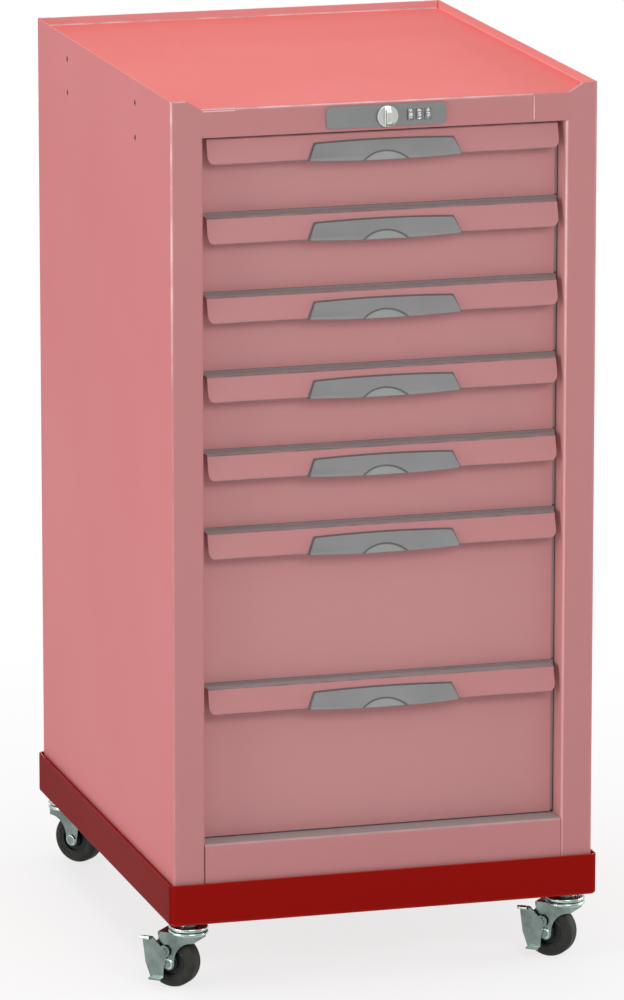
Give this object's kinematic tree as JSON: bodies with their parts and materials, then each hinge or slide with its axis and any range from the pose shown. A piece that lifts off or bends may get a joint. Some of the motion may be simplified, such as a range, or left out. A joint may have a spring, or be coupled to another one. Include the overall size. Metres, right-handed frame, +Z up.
{
  "type": "tool cart side cabinet",
  "caption": "Narrow sheet-steel tool cabinet with shallow and deep pull-out drawers and a turn-knob lock, standing in a folded base on swivel casters with brakes.",
  "frame": {"origin": "on the floor at the centre of the footprint", "axes": "+Z up, the drawer fronts face -Y, +X to the right as seen from the front"},
  "size_m": [0.4617, 0.5264, 0.855],
  "materials": {
    "cabinet_paint": "satin powder coat",
    "base_paint": "satin powder coat",
    "grip_plastic": "fine moulded grain",
    "zinc": "zinc plated",
    "knob_metal": "satin nickel",
    "number_plastic": "moulded",
    "tyre_rubber": "grey rubber on a black hub"
  },
  "bodies": {
    "cabinet": {"left_side": "cabinet_paint", "right_side": "cabinet_paint", "back_panel": "cabinet_paint", "top_panel": "cabinet_paint", "front_rail": "cabinet_paint", "bottom_pan": "cabinet_paint", "runner_uprights": "zinc", "cabinet_runners": "zinc", "lock_strip": "grip_plastic", "base_frame": "base_paint", "caster_stems": "zinc"},
    "drawer_1": {"drawer_1_front": "cabinet_paint", "drawer_1_tray": "cabinet_paint", "drawer_1_grip": "grip_plastic", "drawer_1_runners": "zinc"},
    "drawer_2": {"drawer_2_front": "cabinet_paint", "drawer_2_tray": "cabinet_paint", "drawer_2_grip": "grip_plastic", "drawer_2_runners": "zinc"},
    "drawer_3": {"drawer_3_front": "cabinet_paint", "drawer_3_tray": "cabinet_paint", "drawer_3_grip": "grip_plastic", "drawer_3_runners": "zinc"},
    "drawer_4": {"drawer_4_front": "cabinet_paint", "drawer_4_tray": "cabinet_paint", "drawer_4_grip": "grip_plastic", "drawer_4_runners": "zinc"},
    "drawer_5": {"drawer_5_front": "cabinet_paint", "drawer_5_tray": "cabinet_paint", "drawer_5_grip": "grip_plastic", "drawer_5_runners": "zinc"},
    "drawer_6": {"drawer_6_front": "cabinet_paint", "drawer_6_tray": "cabinet_paint", "drawer_6_grip": "grip_plastic", "drawer_6_runners": "zinc"},
    "drawer_7": {"drawer_7_front": "cabinet_paint", "drawer_7_tray": "cabinet_paint", "drawer_7_grip": "grip_plastic", "drawer_7_runners": "zinc"},
    "lock": {"lock_knob": "knob_metal", "lock_spindle": "zinc"},
    "lock_bar": {"lock_bar": "zinc"},
    "number_wheel_1": {"number_wheel_1": "number_plastic"},
    "number_wheel_2": {"number_wheel_2": "number_plastic"},
    "number_wheel_3": {"number_wheel_3": "number_plastic"},
    "front_left_swivel": {"front_left_fork": "zinc", "front_left_axle": "zinc"},
    "front_left_wheel": {"front_left_wheel": "tyre_rubber"},
    "front_left_brake": {"front_left_brake": "zinc"},
    "front_right_swivel": {"front_right_fork": "zinc", "front_right_axle": "zinc"},
    "front_right_wheel": {"front_right_wheel": "tyre_rubber"},
    "front_right_brake": {"front_right_brake": "zinc"},
    "rear_left_swivel": {"rear_left_fork": "zinc", "rear_left_axle": "zinc"},
    "rear_left_wheel": {"rear_left_wheel": "tyre_rubber"},
    "rear_right_swivel": {"rear_right_fork": "zinc", "rear_right_axle": "zinc"},
    "rear_right_wheel": {"rear_right_wheel": "tyre_rubber"}
  },
  "joints": [
    {"name": "drawer_1_slide", "type": "slide", "parent": "cabinet", "child": "drawer_1", "axis": [0, -1, 0], "range_m": [0, 0.33]},
    {"name": "drawer_2_slide", "type": "slide", "parent": "cabinet", "child": "drawer_2", "axis": [0, -1, 0], "range_m": [0, 0.33]},
    {"name": "drawer_3_slide", "type": "slide", "parent": "cabinet", "child": "drawer_3", "axis": [0, -1, 0], "range_m": [0, 0.33]},
    {"name": "drawer_4_slide", "type": "slide", "parent": "cabinet", "child": "drawer_4", "axis": [0, -1, 0], "range_m": [0, 0.33]},
    {"name": "drawer_5_slide", "type": "slide", "parent": "cabinet", "child": "drawer_5", "axis": [0, -1, 0], "range_m": [0, 0.33]},
    {"name": "drawer_6_slide", "type": "slide", "parent": "cabinet", "child": "drawer_6", "axis": [0, -1, 0], "range_m": [0, 0.33]},
    {"name": "drawer_7_slide", "type": "slide", "parent": "cabinet", "child": "drawer_7", "axis": [0, -1, 0], "range_m": [0, 0.33]},
    {"name": "lock_turn", "type": "hinge", "parent": "cabinet", "child": "lock", "pos_m": [0, -0.2575, 0.833], "axis": [0, 1, 0], "range_deg": [0, 90]},
    {"name": "lock_bar_lift", "type": "slide", "parent": "cabinet", "child": "lock_bar", "axis": [0, 0, 1], "range_m": [0, 0.0118]},
    {"name": "number_wheel_1_spin", "type": "hinge", "parent": "cabinet", "child": "number_wheel_1", "pos_m": [0.023, -0.2524, 0.833], "axis": [1, 0, 0], "continuous": true},
    {"name": "number_wheel_2_spin", "type": "hinge", "parent": "cabinet", "child": "number_wheel_2", "pos_m": [0.0315, -0.2524, 0.833], "axis": [1, 0, 0], "continuous": true},
    {"name": "number_wheel_3_spin", "type": "hinge", "parent": "cabinet", "child": "number_wheel_3", "pos_m": [0.04, -0.2524, 0.833], "axis": [1, 0, 0], "continuous": true},
    {"name": "front_left_swivel", "type": "hinge", "parent": "cabinet", "child": "front_left_swivel", "pos_m": [-0.1875, -0.2355, 0.055], "axis": [0, 0, 1], "continuous": true},
    {"name": "front_left_roll", "type": "hinge", "parent": "front_left_swivel", "child": "front_left_wheel", "pos_m": [-0.19882, -0.22566, 0.025], "axis": [-0.6561, -0.7547, 0], "continuous": true},
    {"name": "front_left_brake", "type": "hinge", "parent": "front_left_swivel", "child": "front_left_brake", "pos_m": [-0.21244, -0.23675, 0.037], "axis": [-0.6561, -0.7547, 0], "range_deg": [0, 14]},
    {"name": "front_right_swivel", "type": "hinge", "parent": "cabinet", "child": "front_right_swivel", "pos_m": [0.1875, -0.2355, 0.055], "axis": [0, 0, 1], "continuous": true},
    {"name": "front_right_roll", "type": "hinge", "parent": "front_right_swivel", "child": "front_right_wheel", "pos_m": [0.17618, -0.22566, 0.025], "axis": [-0.6561, -0.7547, 0], "continuous": true},
    {"name": "front_right_brake", "type": "hinge", "parent": "front_right_swivel", "child": "front_right_brake", "pos_m": [0.16256, -0.23675, 0.037], "axis": [-0.6561, -0.7547, 0], "range_deg": [0, 14]},
    {"name": "rear_left_swivel", "type": "hinge", "parent": "cabinet", "child": "rear_left_swivel", "pos_m": [-0.1875, 0.2355, 0.055], "axis": [0, 0, 1], "continuous": true},
    {"name": "rear_left_roll", "type": "hinge", "parent": "rear_left_swivel", "child": "rear_left_wheel", "pos_m": [-0.17786, 0.22401, 0.025], "axis": [0.766, 0.6428, 0], "continuous": true},
    {"name": "rear_right_swivel", "type": "hinge", "parent": "cabinet", "child": "rear_right_swivel", "pos_m": [0.1875, 0.2355, 0.055], "axis": [0, 0, 1], "continuous": true},
    {"name": "rear_right_roll", "type": "hinge", "parent": "rear_right_swivel", "child": "rear_right_wheel", "pos_m": [0.2025, 0.2355, 0.025], "axis": [0, 1, 0], "continuous": true}
  ],
  "couplings": [
    {"joint": "lock_bar_lift", "follows": "lock_turn", "m_per_rad": 0.0072}
  ]
}
